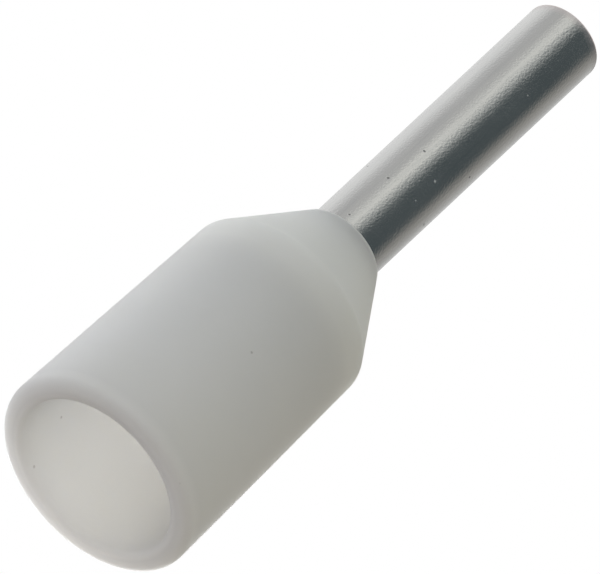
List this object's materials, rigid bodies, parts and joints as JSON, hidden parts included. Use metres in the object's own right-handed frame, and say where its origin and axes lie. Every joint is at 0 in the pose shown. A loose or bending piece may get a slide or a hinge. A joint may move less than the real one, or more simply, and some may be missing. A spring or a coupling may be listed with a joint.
{
  "type": "wire ferrule",
  "caption": "Insulated wire ferrule: a thin tinned sleeve with a flared entry, held in a moulded plastic collar with a cone-shaped shoulder.",
  "frame": {"origin": "centre of the collar's rim, on the plane that the rim stands on", "axes": "+Z along the ferrule's axis from the rim to the sleeve's free end; +X and +Y are any two directions across it"},
  "size_m": [0.0034, 0.0034, 0.012],
  "materials": {
    "tinned_sleeve": "tinned copper, satin, with fine drawing lines along its length",
    "collar_plastic": "moulded, matte, slightly translucent white"
  },
  "bodies": {
    "root": {"contact_sleeve": "tinned_sleeve", "insulating_collar": "collar_plastic"}
  },
  "joints": []
}
